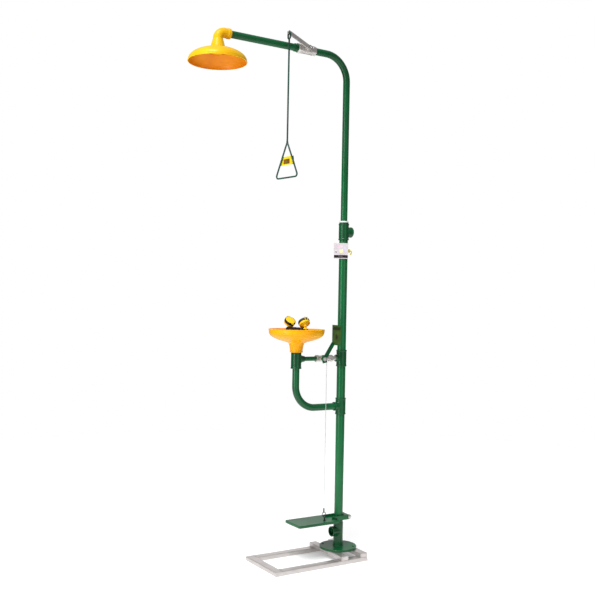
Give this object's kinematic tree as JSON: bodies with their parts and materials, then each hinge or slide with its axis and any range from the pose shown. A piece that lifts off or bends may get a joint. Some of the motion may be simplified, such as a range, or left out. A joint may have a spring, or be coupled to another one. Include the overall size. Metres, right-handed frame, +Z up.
{
  "type": "emergency safety shower",
  "caption": "Free-standing combination safety shower: overhead bell with pull handle, eyewash bowl with covered nozzles, push flag and foot pedal, on a tube stand.",
  "frame": {"origin": "on the floor, under the middle of the unit", "axes": "+Z up the column, +X from the shower head towards the water inlet, +Y away from the levers"},
  "size_m": [0.9284, 0.28, 2.5012],
  "materials": {
    "green_coat": "semi-gloss epoxy coating",
    "stand_tube": "satin galvanised",
    "stainless": "cast and machined stainless steel",
    "zinc_hardware": "zinc plated",
    "white_ptfe": "PTFE",
    "yellow_plastic": "moulded ABS",
    "amber_plastic": "moulded ABS",
    "nozzle_plastic": "moulded ABS",
    "black_rubber": "matt",
    "black_plastic": "matt",
    "white_plastic": "matt",
    "dark_coated_bar": "coated steel bar",
    "sign_sheet": "printed sheet",
    "tag_card": "laminated card"
  },
  "bodies": {
    "frame": {"stand_rail_near": "stand_tube", "stand_rail_far": "stand_tube", "stand_end_tube": "stand_tube", "stand_cross_front": "stand_tube", "stand_cross_rear": "stand_tube", "base_flange": "green_coat", "waste_tee": "green_coat", "column_lower": "green_coat", "column_middle": "green_coat", "column_plug": "stainless", "column_upper": "green_coat", "drain_tee": "green_coat", "supply_tee": "green_coat", "inlet_tee": "green_coat", "reducer_bush": "green_coat", "gasket_ring": "white_ptfe", "bent_pipe": "green_coat", "shower_valve_body": "stainless", "shower_valve_cap": "stainless", "shower_seats": "white_ptfe", "shower_gland_nut": "stainless", "arm_coupling": "green_coat", "head_pipe": "green_coat", "head_elbow": "yellow_plastic", "head_bell": "yellow_plastic", "spray_plate": "yellow_plastic", "bowl": "amber_plastic", "bowl_strainer": "stainless", "bowl_tee": "green_coat", "drain_pipe": "green_coat", "supply_pipe": "green_coat", "riser_tube": "stainless", "nozzle_manifold": "black_plastic", "nozzle_stems": "nozzle_plastic", "nozzle_cups": "nozzle_plastic", "nozzle_rings": "black_rubber", "spray_discs": "white_plastic", "eyewash_valve_body": "stainless", "eyewash_valve_cap": "stainless", "eyewash_seats": "white_ptfe", "eyewash_gland_nut": "stainless", "union_tail": "stainless", "pedal_collar": "green_coat", "pedal_pivot_bolt": "zinc_hardware", "inspection_tag": "tag_card"},
    "shower_lever": {"shower_ball": "stainless", "shower_stem": "stainless", "shower_lever": "stainless", "shower_lever_nut": "stainless"},
    "pull_rod": {"pull_rod": "dark_coated_bar", "pull_triangle": "dark_coated_bar", "pull_sign": "sign_sheet"},
    "eyewash_lever": {"eyewash_moving_valve": "stainless", "eyewash_lever": "green_coat"},
    "pull_wire": {"pull_wire": "zinc_hardware", "wire_link": "zinc_hardware"},
    "pedal": {"pedal_plate": "green_coat", "pedal_eye": "zinc_hardware"},
    "cover_near": {"dust_cover_near": "nozzle_plastic"},
    "cover_far": {"dust_cover_far": "nozzle_plastic"}
  },
  "joints": [
    {"name": "shower_valve_turn", "type": "hinge", "parent": "frame", "child": "shower_lever", "pos_m": [0.13525, 0, 2.44], "axis": [0, -1, 0], "range_deg": [0, 90]},
    {"name": "pull_rod_hang", "type": "hinge", "parent": "shower_lever", "child": "pull_rod", "pos_m": [0.01923, -0.0367, 2.49166], "axis": [0, -1, 0], "range_deg": [-90, 0]},
    {"name": "eyewash_valve_turn", "type": "hinge", "parent": "frame", "child": "eyewash_lever", "pos_m": [0.25025, 0, 0.967], "axis": [0, 1, 0], "range_deg": [0, 90]},
    {"name": "wire_hang", "type": "hinge", "parent": "eyewash_lever", "child": "pull_wire", "pos_m": [0.26722, -0.03095, 0.98397], "axis": [0, 1, 0], "range_deg": [-90, 0]},
    {"name": "pedal_tilt", "type": "hinge", "parent": "frame", "child": "pedal", "pos_m": [0.41925, 0, 0.19], "axis": [0, -1, 0], "range_deg": [0, 13.32]},
    {"name": "cover_near_open", "type": "hinge", "parent": "frame", "child": "cover_near", "pos_m": [0.11325, -0.07887, 1.16717], "axis": [1, 0, 0], "range_deg": [0, 110]},
    {"name": "cover_far_open", "type": "hinge", "parent": "frame", "child": "cover_far", "pos_m": [0.11325, 0.07887, 1.16717], "axis": [-1, 0, 0], "range_deg": [0, 110]}
  ],
  "couplings": [
    {"joint": "pull_rod_hang", "follows": "shower_valve_turn", "ratio": -1},
    {"joint": "wire_hang", "follows": "eyewash_valve_turn", "ratio": -1},
    {"joint": "pedal_tilt", "follows": "eyewash_valve_turn", "ratio": 0.14748}
  ]
}
